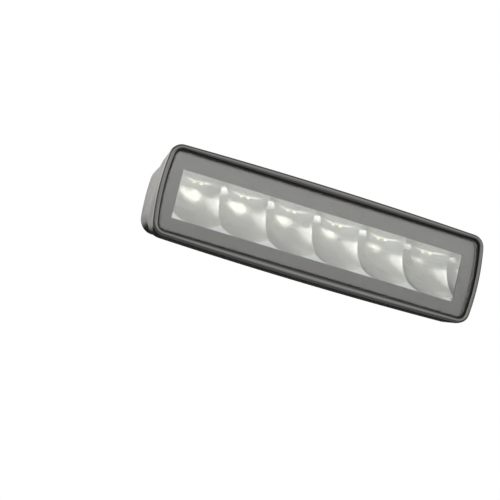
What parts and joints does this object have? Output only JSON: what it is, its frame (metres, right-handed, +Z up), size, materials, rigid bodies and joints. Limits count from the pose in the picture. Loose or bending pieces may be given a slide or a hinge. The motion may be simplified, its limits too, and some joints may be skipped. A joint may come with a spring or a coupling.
{
  "type": "led light bar",
  "caption": "Slim rectangular LED driving lamp with a die-cast finned housing, framed lens, bowl reflectors and a tilting strap bracket.",
  "frame": {"origin": "centre of the bracket's back face, midway between the two mounting slots, level with the tilt axis", "axes": "+X along the bar, +Y to the rear out of the bracket's back face, +Z up; the lens faces -Y"},
  "size_m": [0.2194, 0.0792, 0.062],
  "materials": {
    "powder_coat": "satin black powder coat on die-cast aluminium",
    "frame_black": "satin black, smoother than the housing",
    "bracket_coat": "fine textured black powder coat on steel",
    "clear_lens": "clear hard-coated polycarbonate",
    "mask_print": "printed black border behind the lens",
    "rubber_black": "black silicone rubber",
    "reflector_metal": "vacuum metallised",
    "steel_zinc": "zinc plated steel",
    "black_oxide": "black oxide steel",
    "board_white": "white solder mask on an aluminium board",
    "board_green": "green solder mask",
    "ceramic_white": "white ceramic",
    "phosphor": "yellow phosphor in silicone",
    "thermal_grey": "soft thermal pad",
    "plastic_white": "cream connector plastic",
    "plastic_black": "black polyamide",
    "wire_red": "insulated wire",
    "membrane_white": "breathable membrane"
  },
  "bodies": {
    "mounting_bracket": {"bracket": "bracket_coat", "pivot_washers": "steel_zinc"},
    "lamp_head": {"housing": "powder_coat", "front_bezel": "frame_black", "lens": "clear_lens", "lens_mask": "mask_print", "lens_gasket": "rubber_black", "reflector": "reflector_metal", "reflector_screws": "steel_zinc", "led_board": "board_white", "led_packages": "ceramic_white", "led_phosphors": "phosphor", "thermal_pad": "thermal_grey", "board_screws": "steel_zinc", "led_connector": "plastic_white", "board_leads": "wire_red", "driver_board": "board_green", "driver_screws": "steel_zinc", "driver_connector": "plastic_white", "input_terminal": "plastic_black", "driver_capacitors": "plastic_black", "driver_inductors": "plastic_black", "driver_chips": "plastic_black", "cable_gland_body": "plastic_black", "gland_seal": "rubber_black", "gland_nut": "plastic_black", "gland_o_ring": "rubber_black", "vent_cap": "plastic_black", "vent_membrane": "membrane_white", "vent_o_ring": "rubber_black", "pivot_screws": "black_oxide"}
  },
  "joints": [
    {"name": "head_tilt", "type": "hinge", "parent": "mounting_bracket", "child": "lamp_head", "pos_m": [0, -0.019, 0], "axis": [1, 0, 0], "range_deg": [-40, 40]}
  ]
}
